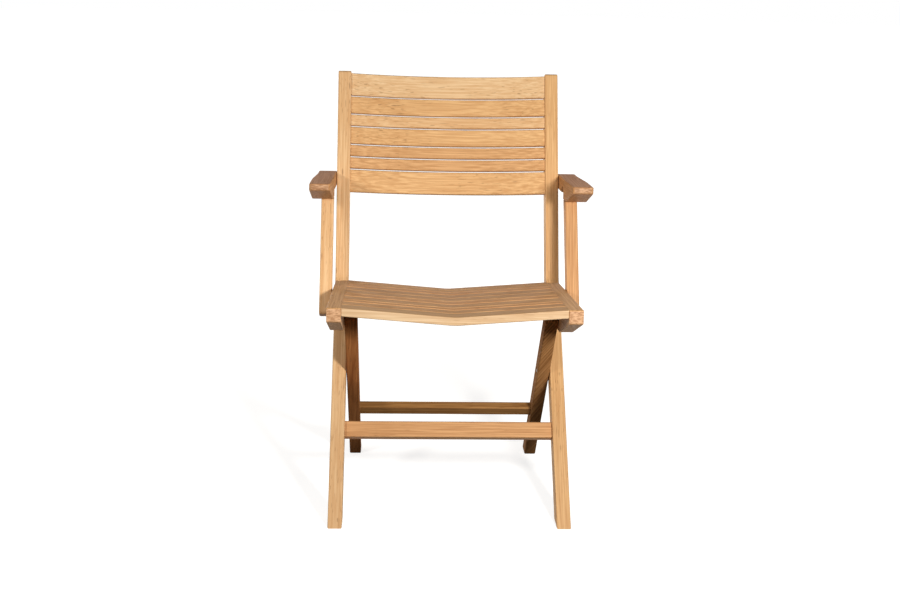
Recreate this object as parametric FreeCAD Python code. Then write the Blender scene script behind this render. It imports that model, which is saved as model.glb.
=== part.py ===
import FreeCAD, Part
import math
import os
from FreeCAD import Vector

# Folding teak armchair, open for use. Millimetres, +Z up, the front of the seat faces -Y.
# Left and right are the sitter's, so left is +X. Each side is built at +X and mirrored.
# Leans are in degrees from the vertical. A lean to the rear is positive.

# Side frames: one bent board is the back stile above the bend and the front leg below it
HALF_WIDTH = 241.4
SIDE_THICKNESS = 28.4
SIDE_DEPTH = 38.0
LEG_LEAN = 39.3
STILE_LEAN = 21.4
BEND_ABOVE_RAIL = 10.9
BEND_ROUND = 30.0
STILE_RISE = 454.9
STILE_TOP_ROUND = 6.0
FOOT_ROUND = 3.5

# Rear legs, inside the side frames and crossing them
REAR_LEG_THICKNESS = 25.0
REAR_LEG_DEPTH = 36.0
REAR_LEG_LEAN = -38.3
REAR_FOOT_Y = 414.0
LEG_SIDE_GAP = 1.2

# Rod across the tops of the rear legs, on which the seat rests
ROD_BELOW_SEAT = 39.4
ROD_RADIUS = 6.0
ROD_END_INSET = 2.5
NOTCH_CLEARANCE = 0.3
NOTCH_LEAN = 32.0
NOTCH_FLARE = 5.0

# Seat rails, in the plane of the side frames
RAIL_THICKNESS = 27.0
RAIL_SIDE_GAP = 0.8
RAIL_SLOPE = 5.72
NOSE_Y = -47.3
NOSE_HEIGHT = 461.4
NOSE_DEPTH = 26.5
BELLY_AHEAD_OF_ROD = 24.0
BELLY_BELOW_ROD = 27.6
BELLY_AHEAD_OF_POST = 6.0
BELLY_BELOW_POST = 21.7
RAIL_REAR_DEPTH = 29.0
BELLY_ROUND = 45.0
NOSE_ROUND = 4.0
RAIL_END_GAP = 1.0

# Hinges at the rear ends of the seat rails, where the seat folds up
HINGE_INSET = 7.0
SEAT_PIN_RADIUS = 2.5
SEAT_PIN_LENGTH = 14.5
PLATE_THICKNESS = 4.0
PLATE_HALF_HEIGHT = 6.0
PLATE_REACH = 24.0
PLATE_FROM_OUTER = 5.5
KERF_SIDE_GAP = 0.3
KERF_RADIUS = 10.0
RIVET_RADIUS = 2.5
RIVET_REACH = 13.0

# Boards of the back and of the seat
BACK_WIDE = 49.3
BACK_MEDIUM = 37.2
BACK_NARROW = 24.4
BACK_BOARDS = (BACK_WIDE, BACK_MEDIUM, BACK_NARROW, BACK_MEDIUM, BACK_NARROW, BACK_NARROW, BACK_WIDE)
BACK_GAP = 3.2
BACK_TOP_MARGIN = 4.0
BACK_THICKNESS = 12.0
BACK_RECESS = 6.0
BACK_HOLLOW = 18.0
WIDE = 46.5
BROAD = 40.0
MEDIUM = 34.8
NARROW = 22.0
REAR_BOARD = 28.0
SEAT_BOARDS = (WIDE, MEDIUM, NARROW, BROAD, MEDIUM, BROAD, BROAD, MEDIUM, NARROW, REAR_BOARD)
SEAT_THICKNESS = 16.0
SEAT_DISH = 16.2
SEAT_BEND_ROUND = 250.0
SEAT_FRONT_MARGIN = 2.0
SEAT_REAR_MARGIN = 3.0

# Cross bars between the legs
FRONT_BAR_HEIGHT = 34.0
FRONT_BAR_THICKNESS = 18.0
FRONT_BAR_RECESS = 10.0
FRONT_BAR_ALONG = 212.0
REAR_BAR_HEIGHT = 26.8
REAR_BAR_THICKNESS = 17.0
REAR_BAR_RECESS = 9.5
REAR_BAR_ALONG = 164.0

# Tenons and their mortises
TENON_LENGTH = 14.0
TENON_THICKNESS = 7.0
TENON_SHOULDER = 4.0
TENON_END_GAP = 1.0
TENON_ROOT = 6.0
SEAT_TENON_LENGTH = 9.0

# Armrests
ARM_SIDE_GAP = 1.0
ARM_SLOPE = 2.45
ARM_REAR_DEPTH = 31.0
ARM_LENGTH = 246.0
ARM_NOSE_DEPTH = 13.0
ARM_WIDTH_FRONT = 45.0
ARM_WIDTH_REAR = 39.0
ARM_NOSE_SPLAY = 2.5
ARM_TAPER_START = 100.0
ARM_TAPER_END = 200.0
ARM_CORNER_ROUND = 9.0
ARM_NOSE_ROUND = 4.0
ARM_SCOOP_RADIUS = 18.0
ARM_SCOOP_LIFT = -19.0
ARM_PIVOT_ALONG = 219.2
ARM_PIVOT_INSET = 26.0

# Posts under the armrests
POST_THICKNESS = 25.5
POST_DEPTH = 30.0
POST_FOOT_BELOW_PIVOT = 18.0
POST_FOOT_ROUND = 7.0
POST_TOP_GAP = 0.3
POST_PIVOT_ALONG = 271.7
POST_PIVOT_BELOW = 40.3

# Softened edges of the boards
EASE = 2.5
EASE_THIN = 2.0

# Pivot bolts, cap nuts and washers
BOLT_RADIUS = 4.0
FIXED_FIT = 0.02
RUNNING_FIT = 0.06
HEAD_RADIUS = 8.0
HEAD_HEIGHT = 3.2
NUT_RADIUS = 6.5
NUT_HEIGHT = 6.0
WASHER_RADIUS = 9.5
WASHER_PLAY = 0.2

# Round sinks in the boards, in which the heads and the legs' nuts lie just below the face
SINK_BELOW_FACE = 0.5
SINK_CLEARANCE = 0.4
HEAD_SINK = HEAD_HEIGHT + SINK_BELOW_FACE
NUT_SINK = NUT_HEIGHT + SINK_BELOW_FACE

# Butt hinge between each armrest and its post, its leaves in the joint of the two
LEAF_WIDTH = 20.0
LEAF_LENGTH = 30.0
LEAF_THICKNESS = 1.6
KNUCKLE_RADIUS = 3.0
KNUCKLE_GAP = 0.3
KNUCKLE_RELIEF = 0.3
HINGE_PIN_RADIUS = 1.5
SCREW_RADIUS = 1.6
SCREW_HEAD_RADIUS = 3.0
SCREW_LENGTH = 14.0
SCREW_INSET = 12.0
SCREW_STEP = 3.0
SCREW_SPREAD = 5.0

X_AXIS = Vector(1, 0, 0)
ORIGIN = Vector(0, 0, 0)


def upward(lean):
    """Unit vector along a member that leans back from the vertical by this many degrees."""
    angle = math.radians(lean)
    return Vector(0, math.sin(angle), math.cos(angle))


def rearward(lean):
    """Unit vector square to that member, towards the rear."""
    angle = math.radians(lean)
    return Vector(0, math.cos(angle), -math.sin(angle))


def meeting(point_a, along_a, point_b, along_b):
    """Where two lines of the side view cross."""
    across = Vector(0, -along_b.z, along_b.y)
    step = (point_b - point_a).dot(across) / along_a.dot(across)
    return point_a + along_a * step


# Key points of the side view
foot_front = Vector(0, 0, 0)
leg_up = upward(LEG_LEAN)
leg_back = rearward(LEG_LEAN)
stile_up = upward(STILE_LEAN)
stile_back = rearward(STILE_LEAN)

# The leg passes behind the rail's rear end and bends into the stile just above it
rail_along = Vector(0, math.cos(math.radians(RAIL_SLOPE)), -math.sin(math.radians(RAIL_SLOPE)))
rail_down = Vector(0, -math.sin(math.radians(RAIL_SLOPE)), -math.cos(math.radians(RAIL_SLOPE)))
nose_top = Vector(0, NOSE_Y, NOSE_HEIGHT)
rail_end_top = meeting(nose_top, rail_along, foot_front - leg_back * RAIL_END_GAP, leg_up)
rail_length = (rail_end_top - nose_top).dot(rail_along)
bend_front = rail_end_top + leg_back * RAIL_END_GAP + leg_up * BEND_ABOVE_RAIL
bend_rear = meeting(foot_front + leg_back * SIDE_DEPTH, leg_up, bend_front + stile_back * SIDE_DEPTH, stile_up)
stile_top = bend_front + stile_up * STILE_RISE

rear_up = upward(REAR_LEG_LEAN)
rear_back = rearward(REAR_LEG_LEAN)
rear_foot = Vector(0, REAR_FOOT_Y, 0)
rear_axis = rear_foot + rear_back * (REAR_LEG_DEPTH / 2)
leg_axis = foot_front + leg_back * (SIDE_DEPTH / 2)
leg_pivot = meeting(leg_axis, leg_up, rear_axis, rear_up)
rest_rod = meeting(rear_axis, rear_up, nose_top + rail_down * ROD_BELOW_SEAT, rail_along)
rod_along = (rest_rod - nose_top).dot(rail_along)
seat_hinge = meeting(
    nose_top + rail_down * HINGE_INSET, rail_along, foot_front - leg_back * (RAIL_END_GAP + HINGE_INSET), leg_up
)
post_pivot = nose_top + rail_along * POST_PIVOT_ALONG + rail_down * POST_PIVOT_BELOW

arm_pivot = bend_front + stile_up * ARM_PIVOT_ALONG + stile_back * ARM_PIVOT_INSET
arm_forward = Vector(0, -math.cos(math.radians(ARM_SLOPE)), math.sin(math.radians(ARM_SLOPE)))
arm_up = Vector(0, math.sin(math.radians(ARM_SLOPE)), math.cos(math.radians(ARM_SLOPE)))
arm_half = ARM_REAR_DEPTH / 2

# The arm hinge stands to the armrest's pivot as the post's pivot does to the seat's hinge,
# so armrest, post, seat and stile fold as a parallelogram
arm_hinge = arm_pivot + post_pivot - seat_hinge
arm_under = arm_hinge + arm_up * (POST_TOP_GAP / 2)
under_lift = (arm_under - arm_pivot).dot(arm_up)
post_corner = arm_hinge + arm_forward * (KNUCKLE_RADIUS + KNUCKLE_RELIEF)
post_line = post_corner - post_pivot
POST_LEAN = math.degrees(math.atan2(post_line.y, post_line.z) - math.asin(POST_DEPTH / 2 / post_line.Length))
post_up = upward(POST_LEAN)
post_back = rearward(POST_LEAN)
post_rear_top = meeting(post_pivot + post_back * (POST_DEPTH / 2), post_up, arm_under, arm_forward)
post_front_top = meeting(post_pivot - post_back * (POST_DEPTH / 2), post_up, arm_under, arm_forward)

# Faces across the chair, measured from its middle
side_inner = HALF_WIDTH - SIDE_THICKNESS
rear_leg_outer = side_inner - LEG_SIDE_GAP
rear_leg_inner = rear_leg_outer - REAR_LEG_THICKNESS
rail_inner = rear_leg_outer + RAIL_SIDE_GAP
rail_outer = rail_inner + RAIL_THICKNESS
arm_inner = HALF_WIDTH + ARM_SIDE_GAP
post_outer = arm_inner + POST_THICKNESS

nose_bottom = nose_top + rail_down * NOSE_DEPTH
stile_top_rear = stile_top + stile_back * SIDE_DEPTH


def outline(corners):
    """Closed wire in the side view through (point, radius) corners, each rounded by its radius."""
    starts = []
    ends = []
    middles = []
    count = len(corners)
    for index, (point, radius) in enumerate(corners):
        before = (corners[index - 1][0] - point).normalize()
        after = (corners[(index + 1) % count][0] - point).normalize()
        if radius <= 0:
            starts.append(point)
            ends.append(point)
            middles.append(None)
            continue
        half = before.getAngle(after) / 2
        bisector = (before + after).normalize()
        starts.append(point + before * (radius / math.tan(half)))
        ends.append(point + after * (radius / math.tan(half)))
        middles.append(point + bisector * (radius / math.sin(half) - radius))
    edges = []
    for index in range(count):
        if middles[index] is not None:
            edges.append(Part.Arc(starts[index], middles[index], ends[index]).toShape())
        following = starts[(index + 1) % count]
        if (following - ends[index]).Length > 1e-6:
            edges.append(Part.LineSegment(ends[index], following).toShape())
    return Part.Wire(edges)


def board(corners, inner, outer):
    """Board with this side outline between two faces across the chair."""
    face = Part.Face(outline(corners))
    face.translate(Vector(inner, 0, 0))
    return face.extrude(Vector(outer - inner, 0, 0))


def eased(solid, axis, places, radius):
    """Round the edges that lie in planes square to an axis (0 for X, 1 for Y, 2 for Z)."""
    low = ("XMin", "YMin", "ZMin")[axis]
    high = ("XMax", "YMax", "ZMax")[axis]
    edges = []
    for edge in solid.Edges:
        for place in places:
            box = edge.BoundBox
            if abs(getattr(box, low) - place) < 0.01 and abs(getattr(box, high) - place) < 0.01:
                edges.append(edge)
    return solid.makeFillet(radius, edges)


def placed(shape, lean, base):
    """Stand a shape made upright at the origin on a base point with this lean."""
    moved = shape.copy()
    moved.rotate(ORIGIN, X_AXIS, -lean)
    moved.translate(base)
    return moved


def rod(centre, start, end, radius):
    """Round bar across the chair, centred on a point of the side view."""
    return Part.makeCylinder(radius, end - start, Vector(start, centre.y, centre.z), X_AXIS)


def domed(centre, start, end, radius):
    """Short round bar whose far rim is rounded: a bolt head or a cap nut."""
    solid = rod(centre, min(start, end), max(start, end), radius)
    rims = [
        edge
        for edge in solid.Edges
        if abs(edge.BoundBox.XMin - end) < 0.01 and abs(edge.BoundBox.XMax - end) < 0.01
    ]
    return solid.makeFillet(min(radius, abs(end - start)) * 0.7, rims)


def ring(centre, start, end, outer, inner):
    """Washer or bush across the chair."""
    return rod(centre, start, end, outer).cut(rod(centre, start - 1, end + 1, inner))


def head_sink(centre, face):
    """Room for a bolt head in a board's outer face at +X."""
    return rod(centre, face - HEAD_SINK, face + 1, HEAD_RADIUS + SINK_CLEARANCE)


def nut_sink(centre, face):
    """Room for a cap nut in a board's inner face at +X."""
    return rod(centre, face - 1, face + NUT_SINK, NUT_RADIUS + SINK_CLEARANCE)


def mirrored(shape):
    return shape.mirror(ORIGIN, X_AXIS)


def pair(shape):
    """The same piece on both sides, as two solids in one group."""
    return Part.makeCompound([shape, mirrored(shape)])


def tenon(side_x, base_y, low_z, thickness, height, length=TENON_LENGTH):
    """Straight tenon at +X, from inside its board out to its full length."""
    start = Vector(side_x - TENON_ROOT, base_y, low_z)
    return Part.makeBox(length + TENON_ROOT, thickness, height, start)


def mortise(side_x, base_y, low_z, thickness, height, length=TENON_LENGTH):
    """Pocket for that tenon."""
    return Part.makeBox(length + TENON_END_GAP, thickness, height, Vector(side_x, base_y, low_z))


# Back boards: bent in plan, upright in a frame that starts at the bend of the stiles
def back_board(height, low_z):
    """One board of the back with its two tenons, and the pocket that it needs at +X."""
    radius = (side_inner ** 2 + BACK_HOLLOW ** 2) / (2 * BACK_HOLLOW)
    centre_y = BACK_RECESS + BACK_HOLLOW - radius
    shell = ring(Vector(0, 0, 0), 0, height, radius + BACK_THICKNESS, radius)
    shell.rotate(ORIGIN, Vector(0, 1, 0), -90)
    shell.translate(Vector(0, centre_y, low_z))
    block = Part.makeBox(2 * side_inner, SIDE_DEPTH, height, Vector(-side_inner, 0, low_z))
    solid = shell.common(block).Solids[0]
    solid = eased(solid, 2, (low_z, low_z + height), EASE_THIN)
    end_y = BACK_RECESS + (BACK_THICKNESS - TENON_THICKNESS) / 2
    sizes = (end_y, low_z + TENON_SHOULDER, TENON_THICKNESS, height - 2 * TENON_SHOULDER)
    tongue = tenon(side_inner, *sizes)
    solid = solid.fuse([tongue, mirrored(tongue)]).removeSplitter()
    return solid, mortise(side_inner, *sizes)


def back_boards():
    boards = []
    pockets = []
    top_z = STILE_RISE - BACK_TOP_MARGIN
    for height in BACK_BOARDS:
        solid, pocket = back_board(height, top_z - height)
        boards.append(placed(solid, STILE_LEAN, bend_front))
        pockets.append(placed(pocket, STILE_LEAN, bend_front))
        top_z -= height + BACK_GAP
    return boards, pockets


# Cross bars: straight, upright in the frame of their legs
def cross_bar(height, thickness, recess, along, half_span, lean, base):
    """One bar between two legs with its tenons, and the pocket that it needs at +X."""
    low_z = along - height / 2
    solid = Part.makeBox(2 * half_span, thickness, height, Vector(-half_span, recess, low_z))
    long_edges = [
        edge for edge in solid.Edges if edge.BoundBox.XLength > half_span
    ]
    solid = solid.makeFillet(EASE, long_edges)
    sizes = (
        recess + (thickness - TENON_THICKNESS) / 2,
        low_z + TENON_SHOULDER,
        TENON_THICKNESS,
        height - 2 * TENON_SHOULDER,
    )
    tongue = tenon(half_span, *sizes)
    solid = solid.fuse([tongue, mirrored(tongue)]).removeSplitter()
    return placed(solid, lean, base), placed(mortise(half_span, *sizes), lean, base)


# Seat boards: dished to a soft V, level in a frame that starts at the top of the rails' noses
def seat_profile():
    """Cross-section of a seat board between the rails: two straight flanks and a round bottom."""
    slope = math.atan2(SEAT_DISH, rail_inner)
    top = [(-rail_inner, 0.0), (0.0, -SEAT_DISH), (rail_inner, 0.0)]
    drop = SEAT_THICKNESS / math.cos(slope)
    tangent = SEAT_BEND_ROUND * math.tan(slope / 2) * 2 / (1 + math.cos(slope))

    def flank(x, lift):
        return Vector(x, 0, -SEAT_DISH + abs(x) * math.tan(slope) - lift)

    def bottom(lift, reach):
        """Middle of the arc that is tangent to both flanks at this reach from the centre."""
        radius = reach / math.sin(slope)
        centre_z = flank(reach, lift).z + radius * math.cos(slope)
        return Vector(0, 0, centre_z - radius)

    reach_top = tangent
    reach_under = tangent + SEAT_THICKNESS * math.sin(slope)
    left, right = top[0][0], top[2][0]
    edges = [
        Part.LineSegment(flank(left, 0), flank(-reach_top, 0)).toShape(),
        Part.Arc(flank(-reach_top, 0), bottom(0, reach_top), flank(reach_top, 0)).toShape(),
        Part.LineSegment(flank(reach_top, 0), flank(right, 0)).toShape(),
        Part.LineSegment(flank(right, 0), flank(right, drop)).toShape(),
        Part.LineSegment(flank(right, drop), flank(reach_under, drop)).toShape(),
        Part.Arc(flank(reach_under, drop), bottom(drop, reach_under), flank(-reach_under, drop)).toShape(),
        Part.LineSegment(flank(-reach_under, drop), flank(left, drop)).toShape(),
        Part.LineSegment(flank(left, drop), flank(left, 0)).toShape(),
    ]
    return Part.Face(Part.Wire(edges))


def seat_boards():
    boards = []
    pockets = []
    usable = rail_length - SEAT_FRONT_MARGIN - SEAT_REAR_MARGIN
    gap = (usable - sum(SEAT_BOARDS)) / (len(SEAT_BOARDS) - 1)
    profile = seat_profile()
    front = SEAT_FRONT_MARGIN
    low_z = -(SEAT_THICKNESS + TENON_THICKNESS) / 2
    for width in SEAT_BOARDS:
        solid = profile.extrude(Vector(0, width, 0))
        solid = eased(solid, 1, (0, width), EASE_THIN)
        sizes = (TENON_SHOULDER, low_z, width - 2 * TENON_SHOULDER, TENON_THICKNESS, SEAT_TENON_LENGTH)
        tongue = tenon(rail_inner, *sizes)
        solid = solid.fuse([tongue, mirrored(tongue)]).removeSplitter()
        pocket = mortise(rail_inner, *sizes)
        for shape, group in ((solid, boards), (pocket, pockets)):
            shape.translate(Vector(0, front, 0))
            group.append(placed(shape, RAIL_SLOPE, nose_top))
        front += width + gap
    return boards, pockets


def side_frame(pockets):
    """Stile and front leg at +X, cut from one board."""
    rear_sole = meeting(foot_front + leg_back * SIDE_DEPTH, leg_up, foot_front, Vector(0, 1, 0))
    corners = [
        (foot_front, 0),
        (bend_front, BEND_ROUND),
        (stile_top, STILE_TOP_ROUND),
        (stile_top_rear, STILE_TOP_ROUND),
        (bend_rear, BEND_ROUND + SIDE_DEPTH),
        (rear_sole, FOOT_ROUND),
    ]
    solid = board(corners, side_inner, HALF_WIDTH)
    solid = eased(solid, 0, (side_inner, HALF_WIDTH), EASE)
    solid = solid.cut(pockets)
    for centre in (leg_pivot, arm_pivot):
        solid = solid.cut(rod(centre, side_inner - 1, HALF_WIDTH + 1, BOLT_RADIUS + FIXED_FIT))
    solid = solid.cut(head_sink(leg_pivot, HALF_WIDTH))
    solid = solid.cut(plate_body())
    return solid.cut(rod(rivet_centre, side_inner - 1, HALF_WIDTH + 1, RIVET_RADIUS))


def rear_leg(pocket):
    """Inner leg at +X: round about the rest rod, cut level at the floor."""
    half = REAR_LEG_DEPTH / 2
    crown = rest_rod + rear_up * half
    rear_sole = meeting(rear_foot + rear_back * REAR_LEG_DEPTH, rear_up, rear_foot, Vector(0, 1, 0))
    corners = [
        (rear_foot, FOOT_ROUND),
        (crown - rear_back * half, half),
        (crown + rear_back * half, half),
        (rear_sole, FOOT_ROUND),
    ]
    solid = board(corners, rear_leg_inner, rear_leg_outer)
    solid = eased(solid, 0, (rear_leg_inner, rear_leg_outer), EASE)
    solid = solid.cut(pocket)
    solid = solid.cut(rod(leg_pivot, rear_leg_inner - 1, rear_leg_outer + 1, BOLT_RADIUS + RUNNING_FIT))
    solid = solid.cut(nut_sink(leg_pivot, rear_leg_inner))
    return solid.cut(rod(rest_rod, rear_leg_inner - 1, rear_leg_outer + 1, ROD_RADIUS))


def rod_notch():
    """Open notch in the rail's belly: it leaves the rod downwards and to the rear, and flares."""
    away = upward(-NOTCH_LEAN) * -1
    across = rearward(-NOTCH_LEAN)
    width = ROD_RADIUS + NOTCH_CLEARANCE
    flare = math.tan(math.radians(NOTCH_FLARE))
    depth = ROD_BELOW_SEAT + BELLY_BELOW_ROD
    sides = [
        (rest_rod - across * width, 0),
        (rest_rod + across * width, 0),
        (rest_rod + away * depth + across * (width + depth * flare), 0),
        (rest_rod + away * depth - across * (width + depth * flare), 0),
    ]
    slot = board(sides, rail_inner - 1, rail_outer + 1)
    return slot.fuse(rod(rest_rod, rail_inner - 1, rail_outer + 1, width))


def seat_rail(pockets):
    """Side rail of the seat at +X: slim nose, deep belly at the rod and the post, rounded hinge end."""
    end_low = meeting(rail_end_top, leg_up, nose_top + rail_down * RAIL_REAR_DEPTH, rail_along)
    corners = [
        (nose_top, NOSE_ROUND),
        (rail_end_top, HINGE_INSET),
        (end_low, 8.0),
        (post_pivot - rail_along * BELLY_AHEAD_OF_POST + rail_down * BELLY_BELOW_POST, BELLY_ROUND),
        (rest_rod - rail_along * BELLY_AHEAD_OF_ROD + rail_down * BELLY_BELOW_ROD, BELLY_ROUND),
        (nose_bottom, NOSE_ROUND),
    ]
    solid = board(corners, rail_inner, rail_outer)
    solid = eased(solid, 0, (rail_inner, rail_outer), EASE_THIN / 2)
    solid = solid.cut(pockets)
    solid = solid.cut(rod_notch())
    solid = solid.cut(rod(seat_hinge, plate_x - KERF_SIDE_GAP, plate_end_x + KERF_SIDE_GAP, KERF_RADIUS))
    solid = solid.cut(rod(seat_hinge, rail_outer - SEAT_PIN_LENGTH, rail_outer + 1, SEAT_PIN_RADIUS))
    return solid.cut(rod(post_pivot, rail_inner - 1, rail_outer + 1, BOLT_RADIUS + FIXED_FIT))


def arm_point(forward, lift):
    """Point of the armrest's side view, forward of its pivot and above the pivot's line."""
    return arm_pivot + arm_forward * forward + arm_up * lift


def arm_plan():
    """Seen from above: straight inner edge, outer edge that widens towards the nose, round corners."""
    nose_y = arm_point(ARM_LENGTH, 0).y
    rear_y = arm_pivot.y + arm_half + 1
    wide = arm_inner + ARM_WIDTH_FRONT
    slim = arm_inner + ARM_WIDTH_REAR
    corners = [
        (Vector(0, nose_y, arm_inner + ARM_NOSE_SPLAY), ARM_CORNER_ROUND * 0.8),
        (Vector(0, nose_y, wide), ARM_CORNER_ROUND),
        (Vector(0, nose_y + ARM_TAPER_START, wide), 4 * ARM_TAPER_START),
        (Vector(0, nose_y + ARM_TAPER_END, slim), 4 * ARM_TAPER_START),
        (Vector(0, rear_y, slim), 0),
        (Vector(0, rear_y, arm_inner), 0),
        (Vector(0, nose_y + ARM_TAPER_START, arm_inner), 4 * ARM_TAPER_START),
    ]
    face = Part.Face(outline(corners))
    plan = face.extrude(Vector(-2 * (arm_pivot.z + ARM_LENGTH), 0, 0))
    plan.rotate(ORIGIN, Vector(0, 1, 0), 90)
    return plan


def armrest():
    """Armrest at +X: thin nose, deep over the post, scooped behind it, round at its pivot."""
    nose_low = arm_half - ARM_NOSE_DEPTH
    post_reach = (post_front_top - arm_pivot).dot(arm_forward)
    hinge_reach = (arm_hinge - arm_pivot).dot(arm_forward)
    scoop_reach = hinge_reach - ARM_SCOOP_RADIUS
    side = outline(
        [
            (arm_point(ARM_LENGTH, arm_half), ARM_NOSE_ROUND),
            (arm_point(ARM_LENGTH, nose_low), ARM_NOSE_ROUND),
            (arm_point(post_reach + ARM_NOSE_ROUND, under_lift), 2 * ARM_CORNER_ROUND),
            (arm_point(hinge_reach, under_lift), 0),
            (arm_point(hinge_reach, -arm_half), 0),
            (arm_point(-arm_half, -arm_half), arm_half),
            (arm_point(-arm_half, arm_half), arm_half),
        ]
    )
    face = Part.Face(side)
    face.translate(Vector(arm_inner, 0, 0))
    solid = face.extrude(Vector(ARM_WIDTH_FRONT, 0, 0)).common(arm_plan()).Solids[0]
    scoop = rod(
        arm_point(scoop_reach, ARM_SCOOP_LIFT), arm_inner - 1, arm_inner + ARM_WIDTH_FRONT + 1, ARM_SCOOP_RADIUS
    )
    solid = solid.cut(scoop)
    top_edges = [edge for edge in solid.Edges if all(is_arm_top(vertex.Point) for vertex in edge.Vertexes)]
    solid = solid.makeFillet(EASE, top_edges)
    solid = solid.cut(head_sink(arm_pivot, arm_inner + ARM_WIDTH_REAR))
    return solid.cut(rod(arm_pivot, arm_inner - 1, arm_inner + ARM_WIDTH_REAR, BOLT_RADIUS + RUNNING_FIT))


def is_arm_top(point):
    """True for a point of the armrest's flat top face."""
    lift = (Vector(0, point.y, point.z) - arm_pivot).dot(arm_up)
    return abs(lift - arm_half) < 0.05


def arm_post():
    """Post at +X: its top meets the armrest's underside, its foot lies on the rail's outer face."""
    half = POST_DEPTH / 2
    foot = post_pivot - post_up * POST_FOOT_BELOW_PIVOT
    drop = arm_up * POST_TOP_GAP
    corners = [
        (foot - post_back * half, POST_FOOT_ROUND),
        (post_front_top - drop, 0),
        (post_rear_top - drop, 0),
        (foot + post_back * half, POST_FOOT_ROUND),
    ]
    solid = board(corners, arm_inner, post_outer)
    sides = [
        edge
        for edge in solid.Edges
        if edge.BoundBox.XLength < 0.01 and not lies_on_post_top(edge)
    ]
    solid = solid.makeFillet(EASE, sides)
    solid = solid.cut(head_sink(post_pivot, post_outer))
    return solid.cut(rod(post_pivot, arm_inner - 1, post_outer + 1, BOLT_RADIUS + RUNNING_FIT))


def lies_on_post_top(edge):
    """True for the edges that bound the post's top face."""
    lifts = [(Vector(0, vertex.Point.y, vertex.Point.z) - arm_under).dot(arm_up) for vertex in edge.Vertexes]
    return all(abs(lift + POST_TOP_GAP) < 0.05 for lift in lifts)


# Butt hinge of an armrest: three knuckles on one pin, with the middle one on the post's leaf
hinge_x = arm_inner + (POST_THICKNESS - LEAF_WIDTH) / 2
knuckle_width = (LEAF_WIDTH - 2 * KNUCKLE_GAP) / 3
knuckles = [hinge_x + index * (knuckle_width + KNUCKLE_GAP) for index in range(3)]


def hinge_relief():
    """Room for the knuckles in the armrest and the post."""
    ends = (hinge_x - KNUCKLE_GAP, hinge_x + LEAF_WIDTH + KNUCKLE_GAP)
    return rod(arm_hinge, *ends, KNUCKLE_RADIUS + KNUCKLE_RELIEF)


def screw(base, inwards, x):
    """Countersunk wood screw whose head is flush with the leaf."""
    head_height = SCREW_HEAD_RADIUS - SCREW_RADIUS
    top = base + Vector(x, 0, 0)
    head = Part.makeCone(SCREW_HEAD_RADIUS, SCREW_RADIUS, head_height, top, inwards)
    shank = Part.makeCylinder(SCREW_RADIUS, SCREW_LENGTH, top, inwards)
    return head.fuse(shank).removeSplitter()


def hinge_leaf(face_point, inwards, own_knuckles, other_knuckles):
    """A leaf with its knuckles, its screws, and the pocket that both need in the wood."""
    tip = face_point + arm_forward * LEAF_LENGTH
    inner = inwards * LEAF_THICKNESS
    full = board([(face_point, 0), (tip, 0), (tip + inner, 0), (face_point + inner, 0)], hinge_x, hinge_x + LEAF_WIDTH)
    leaf = full.copy()
    for start in own_knuckles:
        leaf = leaf.fuse(rod(arm_hinge, start, start + knuckle_width, KNUCKLE_RADIUS))
    for start in other_knuckles:
        ends = (start - KNUCKLE_GAP, start + knuckle_width + KNUCKLE_GAP)
        leaf = leaf.cut(rod(arm_hinge, *ends, KNUCKLE_RADIUS + KNUCKLE_RELIEF))
    screws = []
    middle_x = hinge_x + LEAF_WIDTH / 2
    for step in (-1, 1):
        base = face_point + arm_forward * (LEAF_LENGTH - SCREW_INSET + step * SCREW_STEP)
        screws.append(screw(base, inwards, middle_x + step * SCREW_SPREAD))
    leaf = leaf.cut(screws)
    return leaf.removeSplitter(), Part.makeCompound(screws), full.fuse(screws)


def knuckle_bore(leaf, fit):
    """Bore of the pin through a leaf's knuckles."""
    bore = rod(arm_hinge, hinge_x - 1, hinge_x + LEAF_WIDTH + 1, HINGE_PIN_RADIUS + fit)
    return leaf.cut(bore)


# Seat hinge: a plate let into the front leg, in a kerf of the rail's rounded end
plate_end_x = rail_outer - PLATE_FROM_OUTER
plate_x = plate_end_x - PLATE_THICKNESS
rivet_centre = seat_hinge + leg_back * (RAIL_END_GAP + HINGE_INSET + RIVET_REACH)


def plate_body():
    """The plate before it is bored, with its rounded end about the hinge."""
    reach = RAIL_END_GAP + HINGE_INSET + PLATE_REACH
    low = seat_hinge - leg_up * PLATE_HALF_HEIGHT
    high = seat_hinge + leg_up * PLATE_HALF_HEIGHT
    bar = board([(low, 0), (high, 0), (high + leg_back * reach, 0), (low + leg_back * reach, 0)], plate_x, plate_end_x)
    return bar.fuse(rod(seat_hinge, plate_x, plate_end_x, PLATE_HALF_HEIGHT)).removeSplitter()


def seat_hinge_parts():
    """Plate, pin and rivet of the seat's hinge at +X."""
    plate = plate_body()
    plate = plate.cut(rod(seat_hinge, plate_x - 1, plate_end_x + 1, SEAT_PIN_RADIUS + RUNNING_FIT))
    plate = plate.cut(rod(rivet_centre, plate_x - 1, plate_end_x + 1, RIVET_RADIUS))
    pin = rod(seat_hinge, rail_outer - SEAT_PIN_LENGTH, rail_outer, SEAT_PIN_RADIUS)
    rivet = rod(rivet_centre, side_inner, HALF_WIDTH, RIVET_RADIUS)
    return plate, pin, rivet


def through_bolt(centre, nut_face, head_face):
    """Bolt with a domed head outside and a cap nut inside, at +X."""
    shank = rod(centre, nut_face, head_face, BOLT_RADIUS)
    head = domed(centre, head_face, head_face + HEAD_HEIGHT, HEAD_RADIUS)
    nut = domed(centre, nut_face, nut_face - NUT_HEIGHT, NUT_RADIUS)
    return shank.fuse(head).removeSplitter(), nut


def spacer(centre, start, end):
    """Washer on a bolt, between two boards."""
    return ring(centre, start, end, WASHER_RADIUS, BOLT_RADIUS + FIXED_FIT)


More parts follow.
